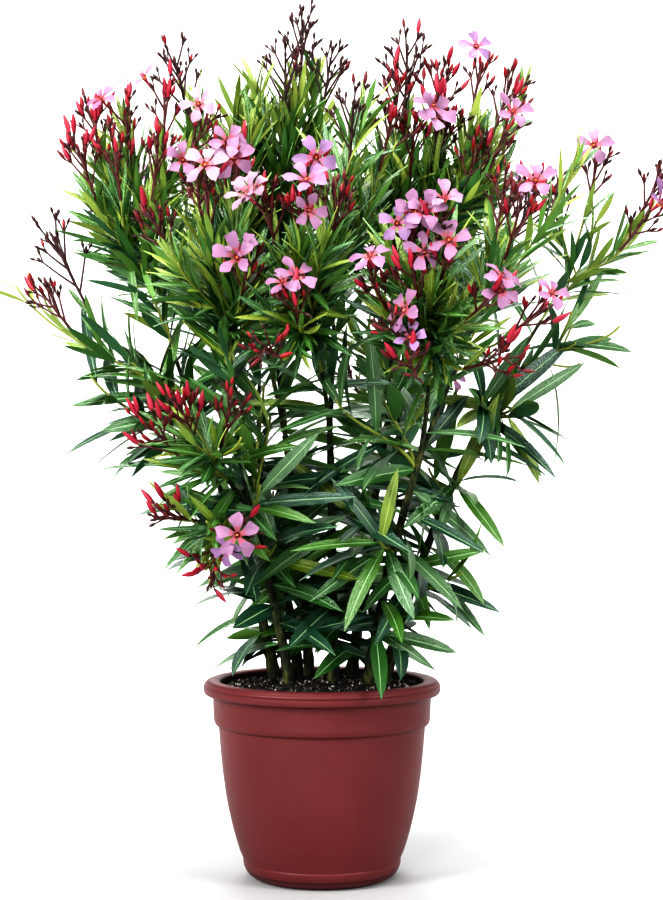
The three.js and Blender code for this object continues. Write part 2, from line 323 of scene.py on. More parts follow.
# A bough grows on from the top of the cane that its own start lies nearest to. Its line begins at that top,
# so the cuts through its own first quarter are left out.
heads = {}
for node in sorted(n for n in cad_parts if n.startswith("bough_")):
    low, high = box_of(node)
    tops = {name: cane["line"][-1] for name, cane in canes.items()}
    owner = min(tops, key=lambda name: np.linalg.norm(np.clip(tops[name], low, high) - tops[name]))
    centres, radii = limb_line(node, tops[owner])
    keep = np.array(CUT_SHARES) > 0.25
    name = node[6:]
    heads[name] = {
        "cane": owner,
        "line": np.vstack([tops[owner], centres[keep]]),
        "radii": np.concatenate([[radii[keep][0] * 1.05], radii[keep]]),
    }
    canes[owner]["heads"].append(name)

BARK_SIDES = 18
RING_STEP = 2.2 * MM
NODE_STEP = 23 * MM  # from one ring of leaf scars to the next


def bark_relief(line, radii, phase):
    """Furrows, knobbly swellings, and the ridges that fallen leaves leave in threes."""

    def relief(ring, angles):
        reach = ring * RING_STEP
        radius = radii[ring]
        from_node = (reach + phase * NODE_STEP) % NODE_STEP - NODE_STEP / 2
        turn = math.floor(reach / NODE_STEP + phase) * math.pi / 3
        scar = math.exp(-((from_node / (1.6 * MM)) ** 2)) * np.maximum(np.cos(3 * (angles - turn)), -0.2)
        spots = [line[ring] + radius * np.array([math.cos(a), math.sin(a), 0]) for a in angles]
        rough = np.array([noise.fractal(Vector(s) * 90, 0.9, 2.1, 4) for s in spots])
        return radius * (0.12 * scar + 0.16 * rough)

    return relief


def build_bark():
    batch = Batch()
    for cane in canes.values():
        line, radii = smooth_line(cane["line"], cane["radii"], RING_STEP)
        tube(batch, line, radii, BARK_SIDES, 0, bark_relief(line, radii, rng.random()))
    for head in heads.values():
        line, radii = smooth_line(head["line"], head["radii"], RING_STEP)
        tube(batch, line, radii, BARK_SIDES - 4, 0, bark_relief(line, radii, rng.random()))
    piece = batch.build("bark", [bark_material()])
    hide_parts(*(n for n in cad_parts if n.startswith(("cane_", "bough_"))))


# ---- Leaves ---------------------------------------------------------------------------------------------

LEAF_STATIONS = 8
# Where the points of a blade's two sides lie, from edge to edge. The upper one has a midrib in its middle.
UPPER = np.array([-1, -0.52, -0.055, 0, 0.055, 0.52, 1])
LOWER = np.array([-1, 0, 1])
ON_RIB = 0.05  # points nearer to the middle than this lie on the midrib
LEAF_THICKNESS = 0.45 * MM
RIB_HEIGHT = 0.4 * MM
LEAF_TWIST = 0.25  # spread of how far a blade turns along its length, in radians
UNDER_SLOT = len(TONES)
RIB_SLOT = 2 * len(TONES)
PALE_RIB_TONE = 3  # from this tone on, the midrib is the young one


class Leaves:
    """Every leaf of one cane, as rows of numbers from which all their meshes are worked out together."""

    def __init__(self):
        self.rows = []

    def add(self, base, way, face, length, width, bend, fold, twist, tone):
        self.rows.append([*base, *way, *face, length, width, bend, fold, twist, tone])

    def fill(self, batch):
        rows = np.array(self.rows)
        base, way, face = rows[:, None, 0:3], rows[:, None, 3:6], rows[:, None, 6:9]
        length, width, bend, fold, twist, tone = (rows[:, i, None] for i in range(9, 15))
        t = np.linspace(0, 1, LEAF_STATIONS)[None, :]
        # The midrib is an arc that curves away from the way that the blade faces.
        run = length * np.sin(bend * t) / bend
        drop = length * (1 - np.cos(bend * t)) / bend
        middle = base + way * run[..., None] - face * drop[..., None]
        normal = face * np.cos(bend * t)[..., None] + way * np.sin(bend * t)[..., None]
        side = np.cross(way, face)
        roll = (twist * t)[..., None]
        c, s = np.cos(roll), np.sin(roll)
        side, normal = side * c + normal * s, normal * c - side * s
        # The blade is widest a little below its middle, and its foot is as wide as a short stalk.
        blade = 2.75 * t**0.7 * (1 - t) ** 0.8
        half = width / 2 * np.maximum(blade, 0.16 * (1 - t) ** 2)
        self.sheet(batch, middle, side, normal, half, fold, UPPER, LEAF_THICKNESS, tone)
        self.sheet(batch, middle, side, normal, half, fold, LOWER, 0, tone)

    @staticmethod
    def sheet(batch, middle, side, normal, half, fold, shares, lift, tone):
        """One side of every blade: the lower one, or, with a lift, the upper one that rises off it."""
        out = half[..., None] * shares
        inner = 1 - np.abs(shares)
        rib = np.where(np.abs(shares) < ON_RIB, RIB_HEIGHT, 0) if lift else 0
        up = np.abs(out) * np.sin(fold)[..., None] * (1.15 - 0.3 * np.abs(shares)) + lift * inner**0.5 + rib
        out = out * np.cos(fold)[..., None]
        points = middle[:, :, None] + side[:, :, None] * out[..., None] + normal[:, :, None] * up[..., None]
        count, stations, columns = points.shape[:3]
        faces = grid_faces(stations, columns, False)
        if lift:
            strip = np.tile(np.arange(columns - 1), stations - 1)
            on_rib = np.abs((shares[:-1] + shares[1:]) / 2)[strip] < ON_RIB
            tones = tone.astype(int)
            slots = np.where(on_rib[None, :], RIB_SLOT + (tones >= PALE_RIB_TONE), tones)
        else:
            faces = faces[:, ::-1]
            slots = np.repeat(UNDER_SLOT + tone.astype(int), len(faces), axis=1)
        faces = faces[None] + (np.arange(count) * stations * columns)[:, None, None]
        batch.add(points, faces.reshape(-1, 4), slots.ravel())


leaves = {name: Leaves() for name in canes}
masses = [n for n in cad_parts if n.startswith("mass_")]


def surface_of(nodes):
    """The surface of some nodes, to measure from."""
    points, faces = [], []
    for node in nodes:
        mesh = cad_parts[node].data
        faces += [[k + len(points) for k in face.vertices] for face in mesh.polygons]
        points += [v.co.copy() for v in mesh.vertices]
    return BVHTree.FromPolygons(points, faces)


def within(surface, point, slack=0.0):
    near, normal, _, gap = surface.find_nearest(Vector(point))
    return gap < slack or (Vector(point) - near).dot(normal) < 0


crown = surface_of(masses)
CROWN_SLACK = 20 * MM  # how far a leaf's tip may stand out of the masses
FREE_HEIGHT = RIM_TOP + 120 * MM  # below this, leaves may spread as wide as the pot's rim


def in_crown(point):
    if point[2] < FREE_HEIGHT and math.hypot(point[0], point[1]) < RIM_RADIUS:
        return True
    return within(crown, point, CROWN_SLACK)


PIECE_ROOM = 4 * MM  # how far inside its bounds each piece stays
room = 0.03 * (np.array(cad_bounds[1]) - np.array(cad_bounds[0])) + 10 * MM - PIECE_ROOM
lowest, highest = np.array(cad_bounds[0]) - room, np.array(cad_bounds[1]) + room


def kept_inside(point, size):
    """The point, moved in until something of a size round it stays in the plant's own room."""
    return np.clip(point, lowest + size, highest - size)


SHRINKS = (1, 0.86, 0.74)  # the lengths that a leaf is tried at, as shares of its own
OVER_RIM = 3 * MM  # a leaf's tip stays this far over the rim's height inside the pot's width
UNDER_RIM = 16 * MM  # and outside it may hang this far below


def outward_of(point):
    """The level way that leads from the pot's axis to a point."""
    return unit(np.array([point[0], point[1], 0]) + 1e-6)


def place_leaf(cane, base, way, face, length, width, bend, fold, tone, sag):
    """Adds a leaf that sags under its weight, shortened or left out where it would leave the crown."""
    way = unit(way - UP * sag * length / 0.12)
    outward = outward_of(base)
    aside = np.cross(outward, UP)
    aside = aside * (1 if rng.random() < 0.5 + 0.25 * np.sign(aside @ SHOW) else -1)
    light = unit(UP * 0.6 + outward * 0.6 + aside * rng.uniform(0, 1.3))
    face = unit(face * 0.5 + light * rng.uniform(0.4, 1.1) + rng.normal(0, 0.2, 3))
    face = unit(face - way * (way @ face))
    for shrink in SHRINKS:
        reach = length * shrink
        tip = base + reach * (way * math.sin(bend) / bend - face * (1 - math.cos(bend)) / bend)
        floor = RIM_TOP + (OVER_RIM if math.hypot(tip[0], tip[1]) < RIM_RADIUS else -UNDER_RIM)
        if tip[2] > floor and in_crown(tip) and np.all((tip > lowest) & (tip < highest)):
            twist = rng.normal(0, LEAF_TWIST)
            leaves[cane].add(base, way, face, reach, width * shrink**0.5, bend, fold, twist, tone)
            return


def between(ends, share):
    foot, tip = ends
    return foot + (tip - foot) * share


LEAVES_KEPT = 0.8  # the share of the leaves of a full line that haven't fallen


def leaf_whorls(cane, line, radii, plan, leafiness=1.0):
    """Leaves in threes up a line, fewer where leafiness is low.

    plan gives, for the line's foot and its tip, the gap between whorls, the leaves' length and width, how
    far they stand off the line in degrees, their bend and their tone. It also gives where along the line
    the first whorl is, the palest tone allowed ("youngest") and how far a leaf sags.
    """
    steps = np.linalg.norm(np.diff(line, axis=0), axis=1)
    reach = np.concatenate([[0], np.cumsum(steps)])
    ways = unit(np.gradient(line, axis=0))
    spot = plan["start"] * reach[-1]
    turn = rng.uniform(0, 2 * math.pi)
    while spot < reach[-1] * 0.985:
        share = spot / reach[-1]
        base = np.array([np.interp(spot, reach, line[:, k]) for k in range(3)])
        way = unit(np.array([np.interp(spot, reach, ways[:, k]) for k in range(3)]))
        radius = np.interp(spot, reach, radii)
        first = across(way, [1, 0.2, 0.1])
        for third in range(3):
            if rng.random() > LEAVES_KEPT * leafiness:
                continue
            out = turned(first, way, turn + third * 2 * math.pi / 3 + rng.normal(0, 0.16))
            spread = math.radians(between(plan["spread"], share) + rng.normal(0, 8))
            leaf_way = way * math.cos(spread) + out * math.sin(spread)
            face = way * math.sin(spread) - out * math.cos(spread)
            length = between(plan["length"], share) * rng.uniform(0.78, 1.14)
            width = between(plan["width"], share) * rng.uniform(0.85, 1.15)
            bend = max(0.05, between(plan["bend"], share) + rng.normal(0, 0.16))
            tone = round(between(plan["tone"], share) + rng.normal(0, 0.9))
            tone = int(np.clip(tone, 0, plan["youngest"]))
            place_leaf(cane, base + out * radius * 0.8, leaf_way, face, length, width, bend,
                       rng.uniform(0.12, 0.5), tone, plan["sag"] * rng.uniform(0.2, 1.8))
        turn += math.pi / 3
        spot += between(plan["gap"], share) * rng.uniform(0.85, 1.2)


# How leaves grow on the canes, on the side twigs, on the boughs, and on the shoots that end in blossom.
LOW_PLAN = {
    "start": 0.14, "gap": (19 * MM, 19 * MM), "length": (100 * MM, 112 * MM), "width": (18.5 * MM, 18 * MM),
    "spread": (74, 60), "bend": (0.42, 0.3), "tone": (0.6, 0.8), "youngest": 2, "sag": 0.5,
}
TWIG_PLAN = {
    "start": 0.25, "gap": (16 * MM, 12 * MM), "length": (104 * MM, 88 * MM), "width": (18 * MM, 15 * MM),
    "spread": (62, 40), "bend": (0.36, 0.25), "tone": (0.5, 1.2), "youngest": 3, "sag": 0.28,
}
BOUGH_PLAN = {
    "start": 0.1, "gap": (22 * MM, 20 * MM), "length": (102 * MM, 80 * MM), "width": (14.5 * MM, 11.5 * MM),
    "spread": (60, 44), "bend": (0.34, 0.26), "tone": (0.8, 1.4), "youngest": 3, "sag": 0.26,
}
SHOOT_PLAN = {
    "start": 0.08, "gap": (15 * MM, 7.5 * MM), "length": (74 * MM, 42 * MM), "width": (8.8 * MM, 6.0 * MM),
    "spread": (44, 16), "bend": (0.3, 0.16), "tone": (1.0, 2.9), "youngest": 4, "sag": 0.1,
}

# ---- Blossom --------------------------------------------------------------------------------------------

PETAL_REACH = 16.5 * MM
PETAL_ROOM = PETAL_REACH * 1.6  # no petal stands further than this from the middle of its flower
STALK_ROOM = PETAL_REACH * 1.5  # what is kept free round the end of a stalk
CUPS = [0.1, 0.25, 0.45, 0.8]  # how steeply the petals of a flower may rise
PETAL_ROWS, PETAL_COLUMNS = 8, 6
PETAL_ROOT = 1.8 * MM  # half a petal's width where it leaves the throat
WIDEST_AT = 0.82  # where along a petal it is widest
ROUND_FROM = 0.8  # where along a petal its end begins to round off
THROAT_RADIUS = 3.2 * MM
TUBE_LENGTH = 14 * MM
TUBE_SIDES = 10
HEART_RADIUS = 1.3 * MM
# The funnel's radius at points behind the throat, as shares of the throat's radius and the tube's length.
FUNNEL_SHARES = np.array([1.25, 0.85, 0.55, 0.42, 0.4])
FUNNEL_DEPTHS = np.array([0, 0.25, 0.55, 0.8, 1.0])


def petal_grid(cup, reach, wide, curl):
    """One petal, as a grid of points that runs outward along +X from the throat and faces +Z."""
    rows, columns = np.linspace(0, 1, PETAL_ROWS), np.linspace(-1, 1, PETAL_COLUMNS)
    along, sideways = np.meshgrid(rows, columns, indexing="ij")
    half = PETAL_ROOT + wide * np.sin(np.minimum(along, WIDEST_AT) / WIDEST_AT * math.pi / 2) ** 1.4
    rounding = np.sqrt(np.maximum(1 - ((along - ROUND_FROM) / 0.26) ** 2, 0.05))
    half = half * np.where(along > ROUND_FROM, rounding, 1)
    # Its end is cut on the slant and swept to one side, as the blades of a windmill are.
    x = THROAT_RADIUS + reach * along - 2.4 * MM * sideways * along**2
    y = half * sideways + 3.0 * MM * along**2
    # It rises with the cup, curls back at its tip, tilts, dishes and ruffles.
    z = cup * reach * along**0.8 - curl * along**2.6
    z = z + 1.3 * MM * sideways * along + 1.3 * MM * sideways**2 * along
    z = z + 0.7 * MM * np.sin(9 * along + 4 * sideways) * along
    return np.stack([x, y, z], axis=-1)


def flower_shape():
    """A flower that faces +Z, with its funnel behind it. No two of its petals are quite alike."""
    batch = Batch()
    cup = rng.choice(CUPS)
    faces = grid_faces(PETAL_ROWS, PETAL_COLUMNS, False)
    # Its first two rows of faces have the deeper colour of the petal's base.
    slots = np.repeat([1, 1, 0, 0, 0, 0, 0], PETAL_COLUMNS - 1)
    for k in range(5):
        curl = rng.uniform(1, 6) * MM
        reach, wide = PETAL_REACH * rng.uniform(0.84, 1.08), rng.uniform(3.4, 4.8) * MM
        grid = petal_grid(cup + rng.normal(0, 0.12), reach, wide, curl)
        turn = k * 2 * math.pi / 5 + rng.normal(0, 0.1)
        c, s = math.cos(turn), math.sin(turn)
        x, y, z = grid[..., 0], grid[..., 1], grid[..., 2]
        batch.add(np.stack([x * c - y * s, x * s + y * c, z], -1), faces, slots)
    angles = np.linspace(0, 2 * math.pi, TUBE_SIDES, endpoint=False)
    funnel = [
        np.column_stack([w * np.cos(angles), w * np.sin(angles), np.full(TUBE_SIDES, -d * TUBE_LENGTH)])
        for d, w in zip(FUNNEL_DEPTHS, FUNNEL_SHARES * THROAT_RADIUS)
    ]
    slots = np.repeat([THROAT, FUNNEL, FUNNEL, FUNNEL], TUBE_SIDES)
    batch.add(np.concatenate(funnel), grid_faces(len(funnel), TUBE_SIDES, True), slots)
    # Five scales stand in the throat, between the petals.
    for k in range(5):
        turn = (k + 0.5) * 2 * math.pi / 5
        out = np.array([math.cos(turn), math.sin(turn), 0])
        aside = np.array([-math.sin(turn), math.cos(turn), 0])
        foot = out * THROAT_RADIUS * 0.9
        tip = out * THROAT_RADIUS * 0.7 + UP * 3.6 * MM
        foot_half, tip_half = aside * 1.4 * MM, aside * 0.5 * MM
        scale = [foot - foot_half, foot + foot_half, tip + tip_half, tip - tip_half]
        batch.add(scale, [[0, 1, 2, 3]], 1)
    ring = HEART_RADIUS * np.column_stack([np.cos(angles), np.sin(angles), 0 * angles])
    heart = [[0, 0, 2 * HEART_RADIUS], *ring]
    batch.add(heart, [[0, 1 + k, 1 + (k + 1) % TUBE_SIDES] for k in range(TUBE_SIDES)], THROAT)
    return batch


# Petals by tint, each with the deeper colour at its base, and then the throat and the funnel.
TINTS = [
    ("pale", (140, 114, 129), (150, 92, 104)),
    ("pink", (129, 95, 121), (142, 78, 94)),
    ("lilac", (121, 93, 126), (136, 76, 102)),
]
THROAT = 2 * len(TINTS)
FUNNEL = THROAT + 1
FLOWER_SHAPES = [flower_shape() for _ in range(12)]
# A bud's outline, as shares of its length and of its thickest radius.
BUD_PROFILE = [(0, 0.45), (0.12, 0.62), (0.35, 1.0), (0.6, 0.92), (0.82, 0.55), (0.96, 0.18)]
BUD_SIDES = 7
BUD_DARK, BUD_RED, BUD_PINK, CALYX = range(4)
BUD_LENGTHS = [8, 11, 14, 18, 22]  # mm
BUD_ODDS = [0.26, 0.28, 0.22, 0.15, 0.09]
NEARLY_OPEN = 17 * MM  # longer buds are pink already

flowers, buds, twigs = Batch(), Batch(), Batch()


def place_flower(shape, at, way, size):
    """A copy of a flower that faces way. Its tint leans to lilac on the right and to pale on the left."""
    side = turned(across(way, [0.4, 0.3, 0.9]), way, rng.uniform(0, 2 * math.pi))
    turn = np.column_stack([side, np.cross(way, side), way]) * size
    tint = int(np.clip(round(1 + at[0] / 0.35 + rng.normal(0, 0.6)), 0, 2))
    start = flowers.count
    for points, corners, sizes, slots in zip(shape.points, shape.corners, shape.sizes, shape.slots):
        tinted = np.where(slots < 2, slots + 2 * tint, slots)
        flowers.add(points @ turn.T + at, corners.reshape(-1, sizes[0]) - (flowers.count - start), tinted)


def place_bud(at, way, length, slot):
    """A pointed bud on a small calyx."""
    thick = 0.9 * MM + length * rng.uniform(0.07, 0.1)
    side = across(way, [0.4, 0.3, 0.9])
    other = np.cross(way, side)
    angles = np.linspace(0, 2 * math.pi, BUD_SIDES, endpoint=False)
    rings = []
    for share, fat in BUD_PROFILE:
        swirl = angles + share * 1.2
        ring = np.outer(np.cos(swirl), side) + np.outer(np.sin(swirl), other)
        rings.append(at + way * share * length + ring * thick * fat)
    rings.append(np.repeat([at + way * length], BUD_SIDES, axis=0))
    faces = grid_faces(len(rings), BUD_SIDES, True)
    buds.add(np.concatenate(rings), faces, np.where(np.arange(len(faces)) < BUD_SIDES, CALYX, slot))


GREEN_TWIG, RED_STALK, SPENT_STALK = range(3)
SHOOT_SIDES, STALK_SIDES = 7, 5

# What grows at a shoot's end: the stalk's reach, how many side branches it has, how many of its tips open,
# what share of the rest are buds, and its colour.
PANICLES = {
    "bloom": {"reach": 46 * MM, "branches": 6, "open": 1.3, "buds": 0.44, "stalk": RED_STALK},
    "bud": {"reach": 54 * MM, "branches": 8, "open": 0, "buds": 0.5, "stalk": RED_STALK},
    "spent": {"reach": 70 * MM, "branches": 9, "open": 0, "buds": 0.08, "stalk": SPENT_STALK},
}


def stalk(start, way, length, radius, slot):
    """A short stalk that curves up a little, and the way that it ends."""
    end = kept_inside(start + unit(way + UP * 0.12) * length, STALK_ROOM)
    middle = start + (end - start) * 0.5 + (way - unit(end - start)) * length * 0.12
    tube(twigs, [start, middle, end], [radius, radius * 0.85, radius * 0.75], STALK_SIDES, slot)
    return end, unit(end - middle)


def panicle(start, way, kind):
    """A branched stalk, with flowers on its foremost tips and buds and bare calyces on the others."""
    plan = PANICLES[kind]
    reach = plan["reach"] * rng.uniform(0.8, 1.15)
    tips = []
    top, top_way = stalk(start, way, reach, 1.6 * MM, plan["stalk"])
    side = across(way, [0.7, 0.2, 0.4])
    for k in range(plan["branches"]):
        share = 0.28 + 0.66 * k / (plan["branches"] - 1)
        joint = start + (top - start) * share
        out = turned(side, way, k * 2.4 + rng.normal(0, 0.2))
        lean = math.radians(rng.uniform(20, 42))
        arm_way = way * math.cos(lean) + out * math.sin(lean)
        arm, arm_end_way = stalk(joint, arm_way, reach * (0.62 - 0.3 * share) * rng.uniform(0.85, 1.2),
                                 1.2 * MM, plan["stalk"])
        tips.append((arm, arm_end_way))
        for turn in (0.6, 3.6):
            fork = turned(across(arm_end_way, out), arm_end_way, turn)
            fork_way = unit(arm_end_way + fork * 0.5)
            foot = arm - arm_end_way * 3 * MM
            tips.append(stalk(foot, fork_way, rng.uniform(6, 11) * MM, 0.9 * MM, plan["stalk"]))
    tips.append((top, top_way))
    outward = outward_of(start)
    foremost = outward * 0.4 + SHOW * 0.8 + UP * 0.4
    order = sorted(range(len(tips)), key=lambda i: -(tips[i][0] - start) @ foremost)
    opened = 2 * math.floor(plan["open"] + rng.random())
    for place, i in enumerate(order):
        at, tip_way = tips[i]
        if place < opened and place % 2 == 0:
            face = unit(tip_way * 0.5 + outward * 0.35 + SHOW * 0.55 + UP * 0.2 + rng.normal(0, 0.34, 3))
            size = rng.uniform(0.8, 1.04)
            throat = kept_inside(at + face * TUBE_LENGTH * size, PETAL_ROOM)
            place_flower(FLOWER_SHAPES[rng.integers(len(FLOWER_SHAPES))], throat, face, size)
        elif rng.random() < plan["buds"]:
            length = rng.choice(BUD_LENGTHS, p=BUD_ODDS) * MM
            slot = BUD_PINK if length > NEARLY_OPEN else (BUD_DARK, BUD_RED)[int(rng.random() < 0.5)]
            place_bud(at, unit(tip_way + UP * 0.5), length, slot)
        else:
            place_bud(at, tip_way, rng.uniform(5, 9) * MM, CALYX)


# ---- Shoots ---------------------------------------------------------------------------------------------

# What the shoots of each head end in and where, as shares of its mass's box from left to right, front to
# back and bottom to top. Further leafy shoots are dealt out by seed between them.
SPRAYS = {
    "reach_left": [("spent", 0.4, 0.5, 0.95), ("bud", 0.3, 0.3, 0.7), ("leafy", 0.1, 0.5, 0.65)],
    "high_left": [
        ("bud", 0.25, 0.4, 0.95), ("bloom", 0.75, 0.3, 0.95), ("bud", 0.2, 0.3, 0.8),
        ("bloom", 0.5, 0.3, 0.9), ("bloom", 0.9, 0.3, 0.9), ("bud", 0.4, 0.2, 0.8),
        ("bud", 0.65, 0.2, 0.8), ("leafy", 0.5, 0.4, 0.85),
    ],
    "crest_left": [("spent", 0.15, 0.5, 0.93), ("bud", 0.55, 0.2, 0.6), ("leafy", 0.8, 0.4, 0.7)],
    "tuft_left": [("leafy", 0.4, 0.4, 0.9), ("leafy", 0.8, 0.3, 0.95), ("leafy", 0.1, 0.5, 0.75)],
    "summit": [
        ("spent", 0.65, 0.4, 0.95), ("spent", 0.9, 0.5, 0.85), ("spent", 0.5, 0.3, 0.82),
        ("leafy", 0.2, 0.2, 0.7),
    ],
    "crest_centre": [("spent", 0.6, 0.3, 0.85), ("bud", 0.9, 0.4, 0.8), ("bloom", 0.3, 0.1, 0.6)],
    "crest_right": [
        ("spent", 0.7, 0.4, 0.93), ("bud", 0.6, 0.3, 0.85), ("bud", 1.0, 0.4, 0.85),
        ("bloom", 0.75, 0.1, 0.65), ("bud", 1.0, 0.1, 0.7),
    ],
    "high_right": [
        ("bloom", 0.65, 0.3, 0.88), ("bud", 0.35, 0.3, 0.8), ("bloom", 0.75, 0.2, 0.66),
        ("bud", 0.6, 0.2, 0.65), ("bud", 0.85, 0.3, 0.85), ("leafy", 1.0, 0.5, 0.8),
    ],
    "shoulder_right": [("leafy", 0.9, 0.4, 0.9), ("bud", 0.45, 0.4, 0.8), ("bloom", 0.5, 0, 0.68)],
    "front_left": [
        ("bloom", 0.4, 0.2, 0.95), ("bloom", 0.7, 0.2, 0.95), ("bloom", 0.75, 0.1, 0.6),
        ("bud", 0.15, 0.3, 0.8), ("bloom", 0.5, 0.1, 0.85),
    ],
    "front_centre": [
        ("bloom", 0.2, 0.2, 0.9), ("bloom", 0.45, 0.1, 0.9), ("bloom", 0.4, 0, 0.5),
        ("bud", 0.2, 0, 0.35), ("bud", 0.7, 0.2, 0.95),
    ],
    "front_right": [
        ("bloom", 0.3, 0.2, 0.85), ("bloom", 0.5, 0.1, 0.75), ("bloom", 0.1, 0.2, 0.65),
        ("bloom", 0.25, 0, 0.45), ("bloom", 0.7, 0.1, 0.6), ("bloom", 0.3, 0, 0.3),
        ("bud", 0.75, 0.2, 0.4), ("bloom", 1.0, 0.2, 0.5), ("bloom", 0.45, 0.1, 0.9),
        ("bloom", 0.35, 0.1, 0.65),
    ],
    "reach_right": [
        ("bloom", 0.45, 0.3, 0.88), ("bloom", 0.85, 0.3, 0.8), ("bloom", 0.75, 0.2, 0.65),
        ("bud", 0.3, 0.4, 0.75), ("leafy", 0.2, 0.4, 0.6), ("leafy", 0.45, 0.3, 0.55),
    ],
    "side_right": [("leafy", 0.8, 0.4, 0.55), ("leafy", 0.5, 0.6, 0.15), ("leafy", 0.4, 0.2, 0.7)],
    "low_left": [
        ("bud", 0.3, 0.2, 0.75), ("bud", 0.45, 0.2, 0.95), ("leafy", 0.95, 0, 0.5),
        ("bud", 0.75, 0.1, 0.95),
    ],
    "droop_left": [
        ("bud", 0.3, 0.2, 1.2), ("bloom", 1.0, 0.1, 1.0), ("leafy", 0.8, 0.2, 0.05),
        ("bud", 0.5, 0.1, 0.9), ("leafy", 0.7, 0, 0.6),
    ],
    "back_left": [
        ("bloom", 0.3, 0.8, 0.9), ("bud", 0.6, 0.5, 0.95), ("bloom", 0.1, 0.6, 0.7),
        ("spent", 0.4, 0.9, 0.7),
    ],
    "back_crest": [
        ("spent", 0.5, 0.6, 0.92), ("bloom", 0.3, 0.9, 0.8), ("bud", 0.8, 0.7, 0.85),
        ("bloom", 0.6, 1, 0.6),
    ],
    "back_right": [
        ("bud", 0.6, 0.6, 0.92), ("bloom", 0.8, 0.8, 0.78), ("bloom", 0.4, 0.9, 0.7),
        ("spent", 0.9, 0.4, 0.8),
    ],
    "back_low": [("bloom", 0.5, 0.9, 0.85), ("bud", 0.2, 0.8, 0.6), ("bloom", 0.85, 0.8, 0.5)],
}
FILLERS = 6  # leafy shoots that are dealt out to each full head besides
FILLER_ROOM = ([0.05, 0.05, 0.3], [0.95, 0.95, 0.8])  # the part of the box that they end in
# How leafy the sparser heads are, as a share of the others.
LEAFINESS = {
    "reach_left": 0.4, "reach_right": 0.44, "side_right": 0.6, "low_left": 0.7, "droop_left": 0.6,
    "shoulder_right": 0.8,
}


SHOOT_POINTS = 14
SHOOT_TIP = 1.15 * MM
PANICLE_PULL = 1.15  # how far below its spot a panicle starts, as a share of its reach
HEAD_PLANS = {"side_right": BOUGH_PLAN}  # heads that have long leaves and no blossom


def arrival(start, end):
    """The way in which a shoot reaches its end: it turns up toward the light."""
    return unit(unit(end - start) * 0.7 + UP * 0.5)


def shoot(cane, start, way, end, kind, thick, leafiness, plan):
    """A leafy shoot from start to end, with what it ends in. Returns its line, for more to spring from."""
    gap = np.linalg.norm(end - start)
    leaving, arriving = way * gap * 0.34, arrival(start, end) * gap * 0.3
    line = bezier(start, start + leaving, end - arriving, end, SHOOT_POINTS)
    radii = np.linspace(thick, SHOOT_TIP, SHOOT_POINTS)
    tube(twigs, line, radii, SHOOT_SIDES, GREEN_TWIG)
    leaf_whorls(cane, line, radii, plan, leafiness)
    if kind in PANICLES:
        panicle(line[-1], unit(line[-1] - line[-3]), kind)
    return line


def grow_head(name, head):
    """The shoots of one head. Two spring from the bough's end, and the rest from one of the first three."""
    cane = head["cane"]
    low, high = box_of("mass_" + name)
    start = head["line"][-1]
    way = unit(head["line"][-1] - head["line"][-3])
    thick = head["radii"][-1] * 0.72
    ends = [(kind, low + (high - low) * np.array(spot)) for kind, *spot in SPRAYS[name]]
    leafiness, plan = LEAFINESS.get(name, 1.0), HEAD_PLANS.get(name, SHOOT_PLAN)
    own = surface_of(["mass_" + name])
    while len(ends) < len(SPRAYS[name]) + round(FILLERS * leafiness**2):
        end = low + (high - low) * rng.uniform(*FILLER_ROOM)
        if within(own, end):
            ends.append(("leafy", end))
    lines = []
    for i, (kind, end) in enumerate(ends):
        if kind in PANICLES:
            end = end - arrival(start, end) * PANICLES[kind]["reach"] * PANICLE_PULL
        if i < 2:
            lines.append(shoot(cane, start, way, end, kind, thick, leafiness, plan))
            continue
        parent = lines[rng.integers(min(i, 3))]
        k = rng.integers(3, 6)
        parent_way = unit(parent[k + 1] - parent[k - 1])
        lines.append(shoot(cane, parent[k], parent_way, end, kind, thick * 0.8, leafiness, plan))


LEAF_LINE_STEP = 6 * MM


def grow_cane(name, cane):
    line, radii = smooth_line(cane["line"], cane["radii"], LEAF_LINE_STEP)
    leaf_whorls(name, line, radii, LOW_PLAN)
    for head_name in cane["heads"]:
        head = heads[head_name]
        line, radii = smooth_line(head["line"], head["radii"], LEAF_LINE_STEP)
        leaf_whorls(name, line, radii, BOUGH_PLAN, LEAFINESS.get(head_name, 1.0) ** 0.5)
        grow_head(head_name, head)


SKIRT_TWIGS = 4
SKIRT_THICK = 2.2 * MM
# The lowest that a side twig ends, as a share of its mass's height.
LOWEST_END = {"mass_side_left": 0.8}
COMMON_LOWEST_END = 0.4


def grow_skirt(cane, node):
    """Short side twigs that carry the leaves of a mass that has no bough of its own."""
    low, high = box_of(node)
    lift = LOWEST_END.get(node, COMMON_LOWEST_END)
    line, _ = smooth_line(canes[cane]["line"], canes[cane]["radii"], LEAF_LINE_STEP)
    for _ in range(SKIRT_TWIGS):
        end = low + (high - low) * rng.uniform([0.2, 0.1, lift], [0.8, 0.9, 1.0])
        gap = np.linalg.norm(line - end + UP * 30 * MM, axis=1)
        k = int(np.clip(np.argmin(gap), 2, len(line) - 3))
        way = unit(unit(end - line[k]) + unit(line[k + 1] - line[k - 1]) * 0.6)
        shoot(cane, line[k], way, end, "leafy", SKIRT_THICK, 1.0, TWIG_PLAN)


